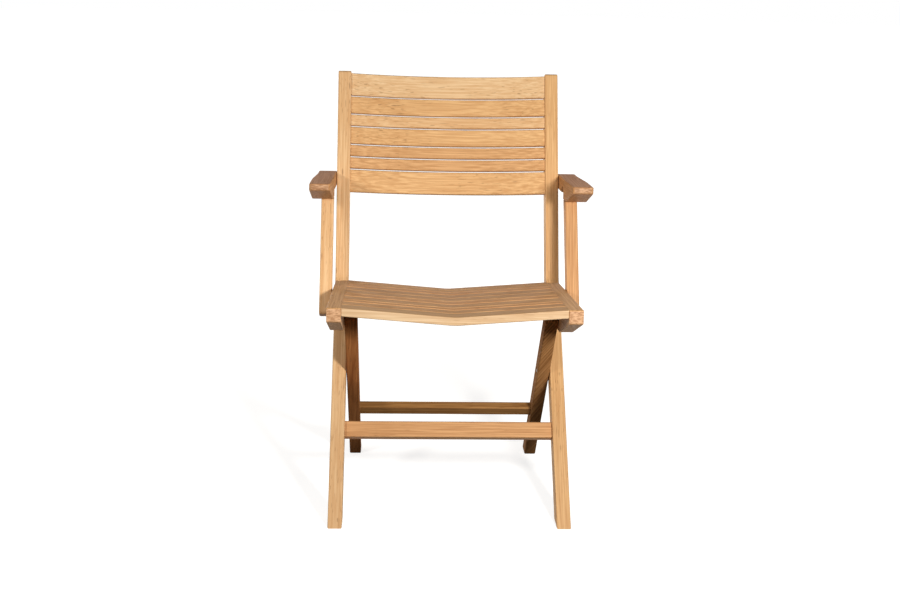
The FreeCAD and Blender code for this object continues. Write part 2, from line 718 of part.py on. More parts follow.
def build():
    """Every node of the chair by name."""
    nodes = {}
    backs, back_pockets = back_boards()
    seats, seat_pockets = seat_boards()
    front_bar, front_pocket = cross_bar(
        FRONT_BAR_HEIGHT, FRONT_BAR_THICKNESS, FRONT_BAR_RECESS, FRONT_BAR_ALONG, side_inner, LEG_LEAN, foot_front
    )
    rear_bar, rear_pocket = cross_bar(
        REAR_BAR_HEIGHT, REAR_BAR_THICKNESS, REAR_BAR_RECESS, REAR_BAR_ALONG, rear_leg_inner, REAR_LEG_LEAN, rear_foot
    )
    for number, solid in enumerate(backs, 1):
        nodes["back_slat_%d" % number] = solid
    for number, solid in enumerate(seats, 1):
        nodes["seat_slat_%d" % number] = solid
    nodes["front_stretcher"] = front_bar
    nodes["rear_stretcher"] = rear_bar

    under_face = arm_hinge + arm_up * (POST_TOP_GAP / 2)
    post_face = arm_hinge - arm_up * (POST_TOP_GAP / 2)
    outer_knuckles = (knuckles[0], knuckles[2])
    inner_knuckles = (knuckles[1],)
    arm_leaf, arm_screws, arm_pocket = hinge_leaf(under_face, arm_up, outer_knuckles, inner_knuckles)
    post_leaf, post_screws, post_pocket = hinge_leaf(post_face, arm_up * -1, inner_knuckles, outer_knuckles)
    sided = {
        "stile_and_front_leg": side_frame(back_pockets + [front_pocket]),
        "rear_leg": rear_leg(rear_pocket),
        "seat_rail": seat_rail(seat_pockets),
        "armrest": armrest().cut([hinge_relief(), arm_pocket]),
        "arm_post": arm_post().cut([hinge_relief(), post_pocket]),
        "arm_hinge_upper_leaf": knuckle_bore(arm_leaf, FIXED_FIT),
        "arm_hinge_lower_leaf": knuckle_bore(post_leaf, RUNNING_FIT),
        "arm_hinge_pin": rod(arm_hinge, hinge_x, hinge_x + LEAF_WIDTH, HINGE_PIN_RADIUS),
        "arm_hinge_upper_screws": arm_screws,
        "arm_hinge_lower_screws": post_screws,
    }
    for name, shape in sided.items():
        nodes["left_" + name] = shape
        nodes["right_" + name] = mirrored(shape)

    plate, pin, rivet = seat_hinge_parts()
    leg_bolt, leg_nut = through_bolt(leg_pivot, rear_leg_inner + NUT_SINK - WASHER_PLAY, HALF_WIDTH - HEAD_SINK)
    arm_bolt, arm_nut = through_bolt(arm_pivot, side_inner, arm_inner + ARM_WIDTH_REAR - HEAD_SINK + WASHER_PLAY)
    post_bolt, post_nut = through_bolt(post_pivot, rail_inner, post_outer - HEAD_SINK + WASHER_PLAY)
    rod_end = rail_outer - ROD_END_INSET
    nodes["rest_rod"] = rod(rest_rod, -rod_end, rod_end, ROD_RADIUS)
    nodes["seat_hinge_plates"] = pair(plate)
    nodes["seat_hinge_pins"] = pair(pin)
    nodes["seat_hinge_rivets"] = pair(rivet)
    nodes["leg_bolts"] = pair(leg_bolt)
    nodes["leg_bolt_nuts"] = pair(leg_nut)
    nodes["leg_washers"] = pair(spacer(leg_pivot, rear_leg_outer + WASHER_PLAY, side_inner))
    nodes["armrest_bolts"] = pair(arm_bolt)
    nodes["armrest_bolt_nuts"] = pair(arm_nut)
    nodes["armrest_washers"] = pair(spacer(arm_pivot, HALF_WIDTH, arm_inner - WASHER_PLAY))
    nodes["post_bolts"] = pair(post_bolt)
    nodes["post_bolt_nuts"] = pair(post_nut)
    nodes["post_washers"] = pair(spacer(post_pivot, rail_outer, arm_inner - WASHER_PLAY))
    return nodes


def main():
    """Write every node, with the origin on the floor under the middle of the chair's length."""
    os.makedirs("parts", exist_ok=True)
    nodes = build()
    boxes = [shape.BoundBox for shape in nodes.values()]
    length_middle = (min(box.YMin for box in boxes) + max(box.YMax for box in boxes)) / 2
    middle = Vector(0, length_middle, 0)
    for name, shape in nodes.items():
        shape.translate(middle * -1)
        shape.exportStep(os.path.join("parts", name + ".step"))
        box = shape.BoundBox
        print("%-32s %d solid(s) %9.0f mm3 valid %s z %.1f to %.1f" % (
            name, len(shape.Solids), shape.Volume, shape.isValid(), box.ZMin, box.ZMax))
    pivots = {
        "leg pivot": leg_pivot,
        "rest rod": rest_rod,
        "seat hinge": seat_hinge,
        "armrest pivot": arm_pivot,
        "arm hinge": arm_hinge,
        "post pivot": post_pivot,
    }
    for name, point in pivots.items():
        local = point - middle
        print("%-14s y %.3f z %.3f" % (name, local.y, local.z))
    print("post lean %.2f degrees, length middle %.3f" % (POST_LEAN, length_middle))


main()
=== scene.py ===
"""Folding teak armchair, open for use: its teak and steel finishes, studio and camera.

Metres, +Z up, the chair faces -Y. Left and right are the sitter's, so left is +X.
"""
import logging
import math
from dataclasses import dataclass
from enum import Enum
from typing import Any

import bmesh
import bpy
from mathutils import Matrix, Vector


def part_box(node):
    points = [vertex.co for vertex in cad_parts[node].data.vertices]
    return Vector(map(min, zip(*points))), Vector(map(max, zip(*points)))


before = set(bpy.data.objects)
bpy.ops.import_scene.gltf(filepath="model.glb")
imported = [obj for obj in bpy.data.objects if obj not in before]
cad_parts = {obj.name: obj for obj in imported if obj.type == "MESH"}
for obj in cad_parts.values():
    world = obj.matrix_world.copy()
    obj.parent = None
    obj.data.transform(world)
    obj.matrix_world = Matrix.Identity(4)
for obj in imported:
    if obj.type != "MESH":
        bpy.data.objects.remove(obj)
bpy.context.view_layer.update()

log = logging.getLogger("folding_armchair")
SIDES = ("left", "right")
ACROSS = Vector((1.0, 0.0, 0.0))
WHITE = (1.0, 1.0, 1.0, 1.0)
Colour = tuple[float, float, float, float]
Triple = tuple[float, float, float]
Tree = bpy.types.NodeTree
Node = bpy.types.Node
Socket = bpy.types.NodeSocket


def linear(code: str) -> Colour:
    """Turn an sRGB hex value into a linear colour.

    Args:
        code: colour as "#RRGGBB".

    Returns:
        Linear red, green, blue and an alpha of 1.
    """
    parts = [int(code[at:at + 2], 16) / 255 for at in (1, 3, 5)]
    red, green, blue = (
        part / 12.92 if part <= 0.04045 else ((part + 0.055) / 1.055) ** 2.4 for part in parts)
    return red, green, blue, 1.0


def add(tree: Tree, kind: str, inputs: dict[int | str, Any] | None = None,
        **settings: Any) -> Node:
    """Add a shader node with its settings and links.

    Args:
        tree: node tree that gets the node.
        kind: node type, without the prefix that all shader nodes share.
        inputs: value, output or node for each input, by name or index. A node stands for its
            first output.
        settings: attributes of the node.

    Returns:
        The new node.
    """
    made = tree.nodes.new(f"ShaderNode{kind}")
    for name, value in settings.items():
        setattr(made, name, value)
    for key, value in (inputs or {}).items():
        source = value.outputs[0] if isinstance(value, Node) else value
        if isinstance(source, Socket):
            tree.links.new(source, made.inputs[key])
        else:
            made.inputs[key].default_value = source
    return made


def empty_material(name: str) -> tuple[bpy.types.Material, Tree]:
    """Make a material without nodes.

    Args:
        name: name of the material.

    Returns:
        The material and its node tree.
    """
    made = bpy.data.materials.new(name)
    made.use_nodes = True
    made.node_tree.nodes.clear()
    return made, made.node_tree


def cover(piece: bpy.types.Object, material: bpy.types.Material) -> None:
    """Put one material in every slot of a piece.

    Args:
        piece: piece to cover.
        material: its material.
    """
    if not piece.material_slots:
        piece.data.materials.append(material)
    for place in piece.material_slots:
        place.material = material


def lean(degrees: float) -> Vector:
    """Direction in the side view that leans to the rear by so many degrees from the vertical."""
    return Vector((0.0, math.sin(math.radians(degrees)), math.cos(math.radians(degrees))))


class Cut(Enum):
    """How a board was sawn: mm to the tree's heart, across the width and under the face."""

    FLAT = (14.0, -78.0)
    RIFT = (-66.0, -58.0)
    QUARTER = (-104.0, 9.0)


class Tone(Enum):
    """Colour of a teak board's early wood and of its late wood."""

    STRAW = ("#EFCB9B", "#D2A26D")
    PALE = ("#EAC18E", "#CB965F")
    HONEY = ("#E8B97F", "#C18A52")
    AMBER = ("#E2AF77", "#B57F4A")
    RUSSET = ("#D7A26C", "#AB7443")
    TAWNY = ("#CC9C69", "#9A6C41")
    # Sun-bleached, and paler still as a painted highlight for the front seat slat's lit front edge
    BLEACHED_AND_HIGHLIT = ("#D0B18A", "#B48E64")
    HAZEL = ("#C69258", "#82552A")
    CHESTNUT = ("#DEA468", "#966032")
    BROWN = ("#D38C52", "#9A5C30")


@dataclass(frozen=True)
class Pattern:
    """A pattern in the wood: its waves per metre along, across and through the board.

    It begins to show at the first level of `shows` and is full at the second, where it tints the
    wood by `share`. One without a tint has the colour of late wood.
    """

    waves: Triple
    detail: float
    shows: tuple[float, float] | None = None
    share: float = 1.0
    tint: str | None = None
    texture: str = "TexNoise"
    drifts: bool = False


class Mark(Enum):
    """The marks of teak: their waves per metre come from the sizes in mm beside them."""

    # Soft stripes, 4 mm wide and half a metre long
    STREAK = Pattern((2.0, 240.0, 240.0), 3.0, (0.42, 0.64), 0.42, drifts=True)
    # Bundles of fibre, 2 mm wide and 90 mm long
    FIBRE = Pattern((11.0, 430.0, 430.0), 2.0, (0.4, 0.64), 0.55)
    # Warmer clouds, 45 mm wide and 170 mm long
    PATCH = Pattern((6.0, 22.0, 22.0), 1.0, (0.38, 0.66), 0.22)
    # Pores are 0.3 mm wide and too fine to show, so they are drawn 2 mm wide and 18 mm long
    PORE = Pattern((56.0, 520.0, 520.0), 0.0, (0.67, 0.76), 0.44, "#7C512B")
    # Pin knots and mineral flecks of 4 by 20 mm, one to a hand's width
    FLECK = Pattern((8.0, 42.0, 42.0), 0.0, (0.10, 0.03), 0.55, "#7A4A26", "TexVoronoi", True)
    # Tubes seen end on in a sawn end, as specks of 2 by 8 mm that follow the rings
    SPECK = Pattern((40.0, 120.0, 420.0), 2.0, (0.36, 0.64))
    # Wear, in spots of 15 to 30 mm
    RUB = Pattern((30.0, 60.0, 60.0), 2.0)


@dataclass(frozen=True)
class Facing:
    """Which parts of a board's surface differ, as cosines between which they begin and are full."""

    # From 44 to 26 degrees off the grain a face is end grain
    end: tuple[float, float] = (0.72, 0.9)
    # From 57 to 22 degrees off level a face looks up to the sky
    top: tuple[float, float] = (0.55, 0.93)
    # Edges, where the surface turns by 10 to 31 degrees within the bevel
    edge: tuple[float, float] = (0.985, 0.86)
    edge_radius: float = 0.0035


@dataclass(frozen=True)
class Teak:
    """Oiled teak, planed and sanded, used outdoors for some seasons.

    Growth rings and long fibres give the streaks along each board, open pores the short dark
    dashes, and end grain drinks more oil and looks darker. Upward faces have begun to grey, and
    the grey laid on them also paints shade there. Low parts are painted darker towards the feet,
    up to knee height, as shade.
    """

    tone: Tone
    cut: Cut
    ring_mm: float = 6.0
    figure: float = 0.26
    # Grey weathering of upward faces, which also paints shade on them
    grey_and_shade_veil: str = "#DCDBD5"
    wear: float = 0.2
    gloss: float = 0.3
    dull: float = 0.58
    # Painted shade, darker towards the feet between the two heights below
    low_shade: float = 0.0
    low_shade_from: float = 0.38
    low_shade_full: float = 0.12
    low_shade_tint: str = "#4A2E18"
    worn_tint: str = "#EDC79A"
    end_tints: tuple[str, str] = ("#C79D78", "#8F6342")
    end_share: float = 0.8
    # The grain wanders by 3 mm or so, in waves 60 mm wide and 300 mm long
    drift_waves: Triple = (3.2, 16.0, 16.0)
    drift_reach: Triple = (0.0, 0.011, 0.011)
    # Good and poor seasons make rings wide and narrow, two at a time
    season_waves: float = 0.55
    season_reach: float = 1.6
    # Share of late wood by place in a ring: most at the rings' border, none half way
    ring_levels: tuple[tuple[float, float], ...] = (
        (0.0, 0.85), (0.16, 0.35), (0.5, 0.0), (0.8, 0.22), (1.0, 1.0))
    streak_dulls: float = 0.22
    pore_dulls: float = 0.2
    top_dulls: float = 0.08
    pore_depth: float = -0.7
    late_height: float = 0.35
    bump_strength: float = 0.35
    bump_distance: float = 0.0006
    facing: Facing = Facing()

    def material(self, name: str, board: "Board") -> bpy.types.Material:
        """Build the solid wood of one board.

        Args:
            name: name of the material.
            board: board whose grain the pattern follows.

        Returns:
            The material.
        """
        made, tree = empty_material(name)
        place = board.grain_space(tree)
        drift = self.drifted(tree, place)
        late = self.late_wood(tree, drift)
        waves, shown = self.marks(tree, place, drift)
        end, top, edge = self.faces(tree, board.end_normal(), waves[Mark.RUB])
        colour = self.colour(tree, late, shown, end, top, edge)
        rough: Any = self.dull - self.streak_dulls / 2
        for mark, share in ((waves[Mark.STREAK], self.streak_dulls),
                            (shown[Mark.PORE], self.pore_dulls), (top, self.top_dulls)):
            rough = add(tree, "Math", {0: mark, 1: share, 2: rough}, operation="MULTIPLY_ADD")
        height = waves[Mark.FIBRE]
        for mark, share in ((shown[Mark.PORE], self.pore_depth), (late, self.late_height)):
            height = add(tree, "Math", {0: mark, 1: share, 2: height}, operation="MULTIPLY_ADD")
        bump = add(tree, "Bump", {
            "Strength": self.bump_strength, "Distance": self.bump_distance, "Height": height})
        shader = add(tree, "BsdfPrincipled", {
            "Base Color": colour, "Roughness": rough, "Normal": bump,
            "IOR": 1.5, "Specular IOR Level": self.gloss})
        add(tree, "OutputMaterial", {"Surface": shader})
        return made

    def drifted(self, tree: Tree, place: Socket) -> Node:
        """Let the grain wander.

        Args:
            tree: node tree of the material.
            place: grain space of the board.

        Returns:
            The grain space that wanders.
        """
        space = add(tree, "VectorMath", {0: place, 1: self.drift_waves}, operation="MULTIPLY")
        noise = add(tree, "TexNoise", {"Vector": space, "Scale": 1.0, "Detail": 2.0})
        centred = add(tree, "VectorMath", {0: noise.outputs["Color"], 1: (0.5, 0.5, 0.5)},
                      operation="SUBTRACT")
        return add(tree, "VectorMath", {0: centred, 1: self.drift_reach, 2: place},
                   operation="MULTIPLY_ADD")

    def late_wood(self, tree: Tree, drift: Node) -> Node:
        """Draw the growth rings.

        Args:
            tree: node tree of the material.
            drift: grain space that wanders.

        Returns:
            The share of late wood.
        """
        across = add(tree, "VectorMath", {0: drift, 1: (0.0, 1.0, 1.0)}, operation="MULTIPLY")
        radius = add(tree, "VectorMath", {0: across}, operation="LENGTH").outputs["Value"]
        rings = add(tree, "Math", {0: radius, 1: self.ring_mm / 1000}, operation="DIVIDE")
        seasons = add(tree, "TexNoise", {"W": rings, "Scale": self.season_waves, "Detail": 1.0},
                      noise_dimensions="1D")
        rings = add(tree, "Math", {0: seasons, 1: self.season_reach, 2: rings},
                    operation="MULTIPLY_ADD")
        rings = add(tree, "Math", {0: rings}, operation="FRACT")
        late = add(tree, "ValToRGB", {0: rings})
        ramp = late.color_ramp
        ramp.interpolation = "EASE"
        first, *between, last = self.ring_levels
        for stop, (_, level) in zip(ramp.elements, (first, last)):
            stop.color = (level, level, level, 1.0)
        for position, level in between:
            ramp.elements.new(position).color = (level, level, level, 1.0)
        return late

    def marks(self, tree: Tree, place: Socket, drift: Node) -> tuple[
            dict[Mark, Node], dict[Mark, Node]]:
        """Lay every mark into the wood.

        Args:
            tree: node tree of the material.
            place: grain space of the board.
            drift: grain space that wanders.

        Returns:
            Each mark's waves, and where each mark shows.
        """
        waves, shown = {}, {}
        for mark in Mark:
            pattern = mark.value
            space = add(tree, "VectorMath", {
                0: drift if pattern.drifts else place, 1: pattern.waves}, operation="MULTIPLY")
            waves[mark] = add(tree, pattern.texture, {
                "Vector": space, "Scale": 1.0, "Detail": pattern.detail})
            if pattern.shows:
                low, high = pattern.shows
                shown[mark] = add(tree, "MapRange", {0: waves[mark], 1: low, 2: high},
                                  interpolation_type="SMOOTHSTEP")
        # Pores come in clouds
        shown[Mark.PORE] = add(tree, "Math", {0: shown[Mark.PORE], 1: shown[Mark.PATCH]},
                               operation="MULTIPLY")
        return waves, shown

    def faces(self, tree: Tree, end_normal: Vector, rub: Node) -> list[Node]:
        """Tell sawn ends, upward faces and rubbed edges from the rest.

        Args:
            tree: node tree of the material.
            end_normal: direction that the sawn ends face.
            rub: waves of the wear.

        Returns:
            Shares of end grain, of upward face and of edge rubbed pale by hands and cloth.
        """
        normal = add(tree, "TexCoord").outputs["Normal"]
        end = add(tree, "VectorMath", {0: normal, 1: end_normal}, operation="DOT_PRODUCT")
        end = add(tree, "Math", {0: end.outputs["Value"]}, operation="ABSOLUTE").outputs[0]
        up = add(tree, "SeparateXYZ", {0: normal}).outputs["Z"]
        soft = add(tree, "Bevel", {"Radius": self.facing.edge_radius}, samples=4)
        true = add(tree, "NewGeometry").outputs["Normal"]
        turn = add(tree, "VectorMath", {0: soft, 1: true}, operation="DOT_PRODUCT")
        end, top, edge = (
            add(tree, "MapRange", {0: cosine, 1: low, 2: high}, interpolation_type="SMOOTHSTEP")
            for cosine, (low, high) in (
                (end, self.facing.end), (up, self.facing.top),
                (turn.outputs["Value"], self.facing.edge)))
        return [end, top, add(tree, "Math", {0: edge, 1: rub}, operation="MULTIPLY")]

    def colour(self, tree: Tree, late: Node, shown: dict[Mark, Node], end: Node, top: Node,
               edge: Node) -> Socket:
        """Tint the early wood layer by layer.

        Args:
            tree: node tree of the material.
            late: share of late wood.
            shown: where each mark shows.
            end: share of end grain.
            top: share of upward face.
            edge: share of rubbed edge.

        Returns:
            The colour.
        """
        early_wood, late_wood = (linear(code) for code in self.tone.value)
        rings = add(tree, "Math", {0: late, 1: self.figure}, operation="MULTIPLY")
        rings = add(tree, "Math", {
            0: shown[Mark.STREAK], 1: Mark.STREAK.value.share, 2: rings}, operation="MULTIPLY_ADD")
        layers: list[tuple[Node, float, Any, str]] = [(rings, 1.0, late_wood, "MIX")]
        for mark in (Mark.FIBRE, Mark.PATCH, Mark.PORE, Mark.FLECK):
            tint = linear(mark.value.tint) if mark.value.tint else late_wood
            layers.append((shown[mark], mark.value.share, tint, "MIX"))
        # Upward faces: grey weathering and painted shade
        layers.append((top, 1.0, linear(self.grey_and_shade_veil), "MULTIPLY"))
        # Painted shade, darker towards the feet
        if self.low_shade:
            here = add(tree, "TexCoord").outputs["Object"]
            height = add(tree, "SeparateXYZ", {0: here}).outputs["Z"]
            shaded_low = add(tree, "MapRange", {0: height, 1: self.low_shade_from, 2: self.low_shade_full},
                      interpolation_type="SMOOTHSTEP")
            layers.append((shaded_low, self.low_shade, linear(self.low_shade_tint), "MIX"))
        pale, dark = (linear(code) for code in self.end_tints)
        specks = add(tree, "Mix", {0: shown[Mark.SPECK], 6: pale, 7: dark}, data_type="RGBA")
        layers.append((end, self.end_share, specks.outputs[2], "MIX"))
        layers.append((edge, self.wear, linear(self.worn_tint), "MIX"))
        colour: Any = early_wood
        for mask, share, tint, kind in layers:
            share = add(tree, "Math", {0: mask, 1: share}, operation="MULTIPLY")
            colour = add(tree, "Mix", {0: share, 6: colour, 7: tint}, data_type="RGBA",
                         blend_type=kind).outputs[2]
        return colour


@dataclass(frozen=True)
class Bend:
    """Bend of a board: where its front and rear faces bend, and how the grain runs above it."""

    front: Vector
    rear: Vector
    above: Vector
    soft: float = 0.014

    def middle(self) -> Vector:
        """Middle of the bend, between the board's faces."""
        return (self.front + self.rear) / 2


@dataclass(frozen=True)
class Board:
    """One teak board: its CAD node, how its grain runs and which way its show face looks."""

    node: str
    grain: Vector
    face: Vector
    finish: Teak
    seed: int
    bend: Bend | None = None
    slant: float = 0.0
    # Each board comes from its own length and side of a tree
    seed_along: float = 1.37
    seed_across: float = 0.004
    # A degree or two between tree and saw draws the arches on flat-sawn faces
    largest_tilts: tuple[float, float] = (1.3, 0.9)
    tilt_steps: tuple[float, float] = (0.35, 0.3)

    def turn(self, grain: Vector) -> Matrix:
        """Rotation into the board's own space: X along the grain, Z out of the show face."""
        along = grain.normalized()
        out = (self.face - along * self.face.dot(along)).normalized()
        return Matrix((along, out.cross(along), out))

    def mapped(self, tree: Tree, grain: Vector, centre: Vector) -> Node:
        """Lay the grain space of a straight board, with its own piece of the tree.

        Args:
            tree: node tree of the material.
            grain: direction of the grain.
            centre: point of the board that the space is laid about.

        Returns:
            The grain space: X along the tree, and the tree's heart on its X axis.
        """
        across, under = self.finish.cut.value
        rise = self.largest_tilts[0] - self.tilt_steps[0] * (self.seed % 7)
        yaw = self.largest_tilts[1] - self.tilt_steps[1] * (self.seed % 5) + self.slant
        tilt = Matrix.Rotation(math.radians(rise), 3, "Y")
        tilt = tilt @ Matrix.Rotation(math.radians(yaw), 3, "Z")
        turned = tilt @ self.turn(grain)
        aim = Vector((self.seed * self.seed_along,
                      -across / 1000 - self.seed_across * (self.seed % 4), -under / 1000))
        here = add(tree, "TexCoord").outputs["Object"]
        return add(tree, "Mapping", {
            "Vector": here, "Rotation": turned.to_euler(), "Location": aim - turned @ centre},
            vector_type="POINT")

    def grain_space(self, tree: Tree) -> Socket:
        """Lay the grain space of the board, which turns at its bend if it has one.

        Args:
            tree: node tree of the material.

        Returns:
            The grain space.
        """
        if self.bend is None:
            low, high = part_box(self.node)
            return self.mapped(tree, self.grain, (low + high) / 2).outputs[0]
        middle = self.bend.middle()
        lower = self.mapped(tree, self.grain, middle)
        upper = self.mapped(tree, self.bend.above, middle)
        here = add(tree, "TexCoord").outputs["Object"]
        past = add(tree, "VectorMath", {0: here, 1: middle}, operation="SUBTRACT")
        halfway = (self.grain + self.bend.above).normalized()
        past = add(tree, "VectorMath", {0: past, 1: halfway}, operation="DOT_PRODUCT")
        share = add(tree, "MapRange", {
            0: past.outputs["Value"], 1: -self.bend.soft, 2: self.bend.soft},
            interpolation_type="SMOOTHSTEP")
        return add(tree, "Mix", {0: share, 4: lower, 5: upper}, data_type="VECTOR").outputs[1]

    def end_normal(self) -> Vector:
        """Direction that the board's sawn ends face."""
        return self.grain.normalized()

    def dress(self) -> None:
        """Give the board its wood."""
        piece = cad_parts[self.node]
        cover(piece, self.finish.material(f"oiled_teak_{self.node}", self))
        log.info("%s: oiled teak, %s, %s", self.node, self.finish.cut.name, self.finish.tone.name)


class Brush(Enum):
    """How the marks run on a steel part."""

    TURNED = "rings about the part's axis"
    DRAWN = "lines along its length"


@dataclass(frozen=True)
class Steel:
    """Stainless steel, turned or drawn and lightly brushed: a soft grey gloss with fine lines."""

    colour: str = "#A09E99"
    shade: str = "#76736E"
    roughness: float = 0.34
    # Tool marks of 0.1 mm are drawn 0.4 mm apart, so that they show
    turned_waves: float = 2500.0
    # Drawing lines, 0.7 mm apart and 80 mm long
    drawn_waves: Triple = (12.0, 1400.0, 1400.0)
    # A film of dirt in clouds of 6 mm
    film_waves: float = 160.0
    film_shows: tuple[float, float] = (0.42, 0.72)
    film_share: float = 0.45
    film_dulls: float = 0.14
    marks_dull: float = 0.16
    bump_strength: float = 0.2
    bump_distance: float = 0.0002

    def material(self, name: str, brush: Brush, axis: Vector) -> bpy.types.Material:
        """Build the steel of one kind of part.

        Args:
            name: name of the material.
            brush: how its marks run.
            axis: a point on the part's axis, which runs across the chair.

        Returns:
            The material.
        """
        made, tree = empty_material(name)
        here = add(tree, "TexCoord").outputs["Object"]
        from_axis = add(tree, "VectorMath", {0: here, 1: axis}, operation="SUBTRACT")
        if brush is Brush.TURNED:
            flat = add(tree, "VectorMath", {0: from_axis, 1: (0.0, 1.0, 1.0)},
                       operation="MULTIPLY")
            radius = add(tree, "VectorMath", {0: flat}, operation="LENGTH").outputs["Value"]
            marks = add(tree, "TexNoise", {
                "W": radius, "Scale": self.turned_waves, "Detail": 1.0}, noise_dimensions="1D")
        else:
            long = add(tree, "VectorMath", {0: from_axis, 1: self.drawn_waves},
                       operation="MULTIPLY")
            marks = add(tree, "TexNoise", {"Vector": long, "Scale": 1.0, "Detail": 2.0})
        film = add(tree, "TexNoise", {"Vector": here, "Scale": self.film_waves, "Detail": 3.0})
        low, high = self.film_shows
        film = add(tree, "MapRange", {0: film, 1: low, 2: high}, interpolation_type="SMOOTHSTEP")
        share = add(tree, "Math", {0: film, 1: self.film_share}, operation="MULTIPLY")
        colour = add(tree, "Mix", {0: share, 6: linear(self.colour), 7: linear(self.shade)},
                     data_type="RGBA").outputs[2]
        rough: Any = self.roughness - self.marks_dull / 2
        for mark, dulls in ((marks, self.marks_dull), (film, self.film_dulls)):
            rough = add(tree, "Math", {0: mark, 1: dulls, 2: rough}, operation="MULTIPLY_ADD")
        bump = add(tree, "Bump", {
            "Strength": self.bump_strength, "Distance": self.bump_distance, "Height": marks})
        shader = add(tree, "BsdfPrincipled", {
            "Base Color": colour, "Metallic": 1.0, "Roughness": rough, "Normal": bump})
        add(tree, "OutputMaterial", {"Surface": shader})
        return made


@dataclass
class Woodwork:
    """A sub-assembly made of boards."""

    def boards(self) -> list[Board]:
        """List the boards."""
        return []

    def dress(self) -> None:
        """Give every board its wood."""
        for board in self.boards():
            board.dress()


@dataclass
class BackFrame(Woodwork):
    """The two bent side boards, the seven bowed back slats and the front cross bar."""

    leg_lean: float = 39.3
    stile_lean: float = 21.4
    bend_front: Vector = Vector((0.0, 0.10113, 0.42998))
    bend_rear: Vector = Vector((0.0, 0.13433, 0.41054))
    side_tones: tuple[Tone, Tone] = (Tone.HONEY, Tone.PALE)
    side_seeds: tuple[int, int] = (3, 8)
    # Painted shade on the lower part of the front legs
    side_low_shade: float = 0.16
    slat_tones: tuple[Tone, ...] = (
        Tone.STRAW, Tone.HONEY, Tone.PALE, Tone.HONEY, Tone.AMBER, Tone.AMBER, Tone.HONEY)
    slat_cuts: tuple[Cut, ...] = (
        Cut.RIFT, Cut.FLAT, Cut.QUARTER, Cut.RIFT, Cut.QUARTER, Cut.FLAT, Cut.FLAT)
    slat_seed: int = 11
    bar_seed: int = 22

    def boards(self) -> list[Board]:
        """List the boards of the back frame."""
        forward = Vector((0.0, -1.0, 0.0))
        bend = Bend(self.bend_front, self.bend_rear, lean(self.stile_lean))
        found = [
            Board(f"{side}_stile_and_front_leg", lean(self.leg_lean), forward,
                  Teak(tone, Cut.FLAT, low_shade=self.side_low_shade), seed, bend)
            for side, tone, seed in zip(SIDES, self.side_tones, self.side_seeds)]
        out = -lean(self.stile_lean + 90.0)
        for index, (tone, cut) in enumerate(zip(self.slat_tones, self.slat_cuts), start=1):
            slat = Teak(tone, cut)
            found.append(Board(f"back_slat_{index}", ACROSS, out, slat, self.slat_seed + index))
        front = -lean(self.leg_lean + 90.0)
        bar = Teak(Tone.RUSSET, Cut.RIFT)
        found.append(Board("front_stretcher", ACROSS, front, bar, self.bar_seed))
        return found


@dataclass
class RearFrame(Woodwork):
    """The two rear legs and their cross bar, of darker and duller wood.

    Painted shade darkens them towards the feet.
    """

    leg_lean: float = -38.3
    gloss: float = 0.05
    dull: float = 0.78
    # Painted shade towards the feet of the rear legs and on their low cross bar
    leg_low_shade: float = 0.6
    bar_low_shade: float = 0.2
    bar_seed: int = 27

    def boards(self) -> list[Board]:
        """List the boards of the rear frame."""
        front = -lean(self.leg_lean + 90.0)
        found = [
            Board(f"{side}_rear_leg", lean(self.leg_lean), front,
                  Teak(tone, Cut.FLAT, ring_mm, figure, gloss=self.gloss, dull=self.dull,
                       low_shade=self.leg_low_shade), seed, slant=slant)
            for side, tone, ring_mm, figure, seed, slant in (
                ("left", Tone.CHESTNUT, 3.6, 0.8, 5, 22.0),
                ("right", Tone.BROWN, 6.0, 0.6, 9, 2.0))]
        bar = Teak(Tone.HAZEL, Cut.RIFT, gloss=self.gloss, dull=self.dull, low_shade=self.bar_low_shade)
        found.append(Board("rear_stretcher", ACROSS, front, bar, self.bar_seed))
        return found


@dataclass
class Seat(Woodwork):
    """The two seat rails and the ten dished slats between them, the front one bleached by sun.

    The front slat is paler still, as a painted highlight on its lit front edge.
    """

    rail_lean: float = 95.72
    rail_seeds: tuple[int, int] = (31, 33)
    slat_tones: tuple[Tone, ...] = (
        Tone.BLEACHED_AND_HIGHLIT, Tone.TAWNY, Tone.RUSSET, Tone.TAWNY, Tone.RUSSET,
        Tone.TAWNY, Tone.TAWNY, Tone.RUSSET, Tone.TAWNY, Tone.TAWNY)
    slat_seed: int = 40
    # Grey weathering and painted shade on the slats' tops, warmer on the front slat
    bleached_grey_and_shade_veil: str = "#D8C8B0"
    slat_grey_and_shade_veil: str = "#EFEEE8"

    def boards(self) -> list[Board]:
        """List the boards of the seat."""
        up = lean(self.rail_lean - 90.0)
        rail = Teak(Tone.AMBER, Cut.RIFT)
        found = [
            Board(f"{side}_seat_rail", lean(self.rail_lean), up, rail, seed)
            for side, seed in zip(SIDES, self.rail_seeds)]
        for index, tone in enumerate(self.slat_tones, start=1):
            cut = (Cut.FLAT, Cut.RIFT, Cut.QUARTER)[index % 3]
            grey_and_shade_veil = self.bleached_grey_and_shade_veil if tone is Tone.BLEACHED_AND_HIGHLIT else self.slat_grey_and_shade_veil
            slat = Teak(tone, cut, grey_and_shade_veil=grey_and_shade_veil, wear=0.0)
            found.append(Board(f"seat_slat_{index}", ACROSS, up, slat, self.slat_seed + index))
        return found


